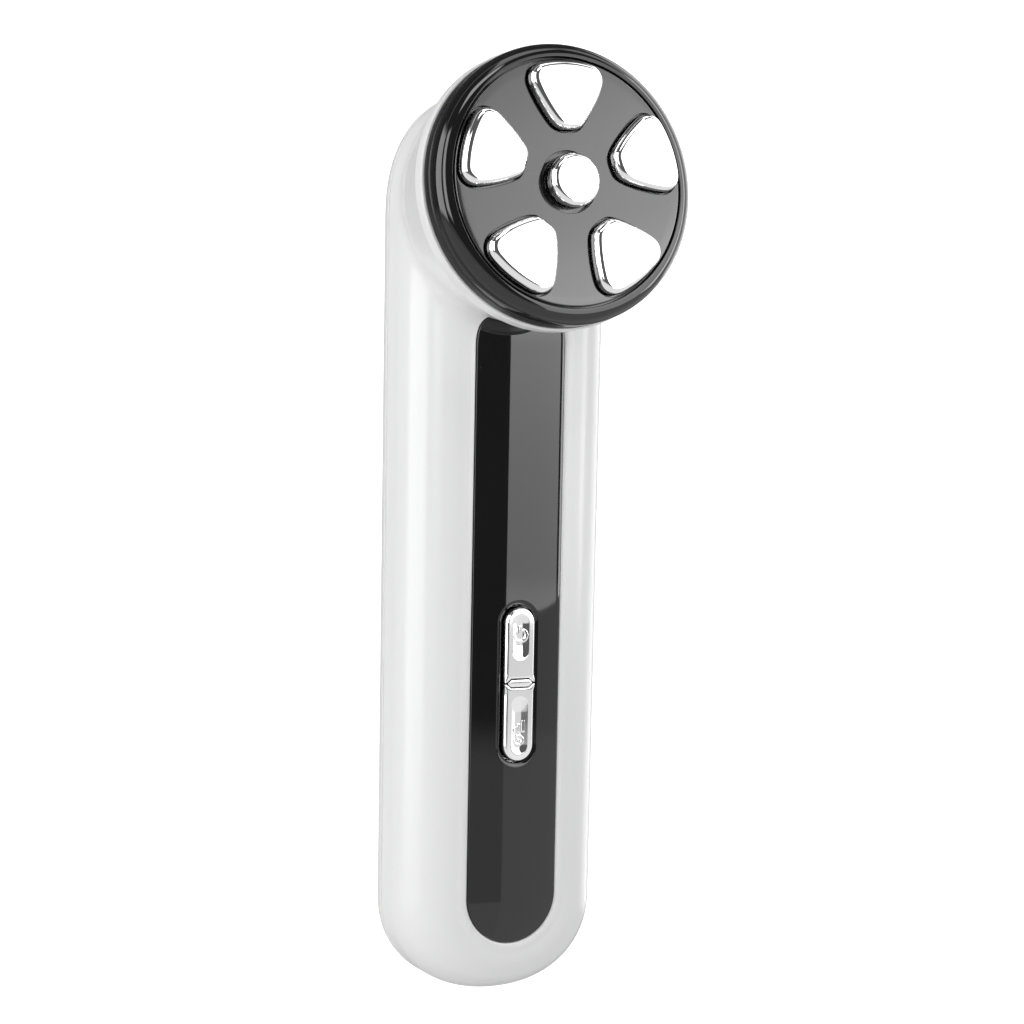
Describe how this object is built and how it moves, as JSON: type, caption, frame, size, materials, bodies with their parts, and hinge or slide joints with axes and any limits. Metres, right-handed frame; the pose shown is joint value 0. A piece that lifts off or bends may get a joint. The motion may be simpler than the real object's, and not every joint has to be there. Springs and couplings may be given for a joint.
{
  "type": "facial toning device",
  "caption": "Hand-held facial toning device: a white handle with a black inlay and push keys, and a tilted round head carrying metal skin electrodes.",
  "frame": {"origin": "middle of the overall width and length, on the flat strip of the back that the device lies on", "axes": "+Z out of the front with the keys and electrodes, +Y along the handle from the charging end to the head, +X to the right when the front is seen with the head at the top"},
  "size_m": [0.0548, 0.1876, 0.0491],
  "materials": {
    "white_shell": "glossy white moulding",
    "black_gloss": "piano black",
    "black_ring": "glossy black moulding",
    "black_satin": "satin black moulding",
    "face_black": "black with a soft sheen",
    "electrode": "polished plating",
    "key_metal": "satin metal",
    "brass": "plain",
    "circuit_board": "solder mask",
    "screw_steel": "zinc plated",
    "ribbon": "polyimide film",
    "switch_case": "moulded",
    "plunger": "moulded",
    "cell_foil": "laminated foil",
    "foam": "closed cell foam",
    "lead_red": "insulated wire",
    "socket_steel": "stamped",
    "chip": "moulded",
    "copper": "enamelled copper winding",
    "motor_steel": "drawn can",
    "weight_metal": "dense sintered metal"
  },
  "bodies": {
    "housing": {"front_shell": "white_shell", "rear_shell": "white_shell", "panel_inlay": "black_gloss", "key_bridge": "key_metal", "bezel_ring": "black_ring", "head_base": "black_satin", "face_plate": "face_black", "pad_top": "electrode", "pad_left": "electrode", "pad_right": "electrode", "pad_lower_left": "electrode", "pad_lower_right": "electrode", "pad_centre": "electrode", "electrode_nuts": "brass", "contact_pins": "brass", "head_board": "circuit_board", "head_board_screws": "screw_steel", "head_ribbon": "ribbon", "main_board": "circuit_board", "main_board_screws": "screw_steel", "switch_upper": "switch_case", "switch_lower": "switch_case", "key_guide": "black_satin", "battery": "cell_foil", "battery_pad": "foam", "battery_leads": "lead_red", "charge_socket": "socket_steel", "charge_tongue": "black_satin", "controller_chip": "chip", "boost_coil": "copper", "buzzer": "chip", "motor_can": "motor_steel", "motor_saddle": "black_satin", "motor_leads": "lead_red", "shell_screws": "screw_steel"},
    "upper_key": {"key_upper": "key_metal", "plunger_upper": "plunger"},
    "lower_key": {"key_lower": "key_metal", "plunger_lower": "plunger"},
    "motor_rotor": {"motor_shaft": "screw_steel", "motor_armature": "copper", "motor_weight": "weight_metal"}
  },
  "joints": [
    {"name": "upper_key_press", "type": "slide", "parent": "housing", "child": "upper_key", "axis": [0, 0, -1], "range_m": [0, 0.0005], "stiffness_N_per_m": 3000, "springref_m": -0.0001},
    {"name": "lower_key_press", "type": "slide", "parent": "housing", "child": "lower_key", "axis": [0, 0, -1], "range_m": [0, 0.0005], "stiffness_N_per_m": 3000, "springref_m": -0.0001},
    {"name": "motor_spin", "type": "hinge", "parent": "housing", "child": "motor_rotor", "pos_m": [0, 0.0532, 0.012], "axis": [0, 1, 0], "continuous": true}
  ]
}
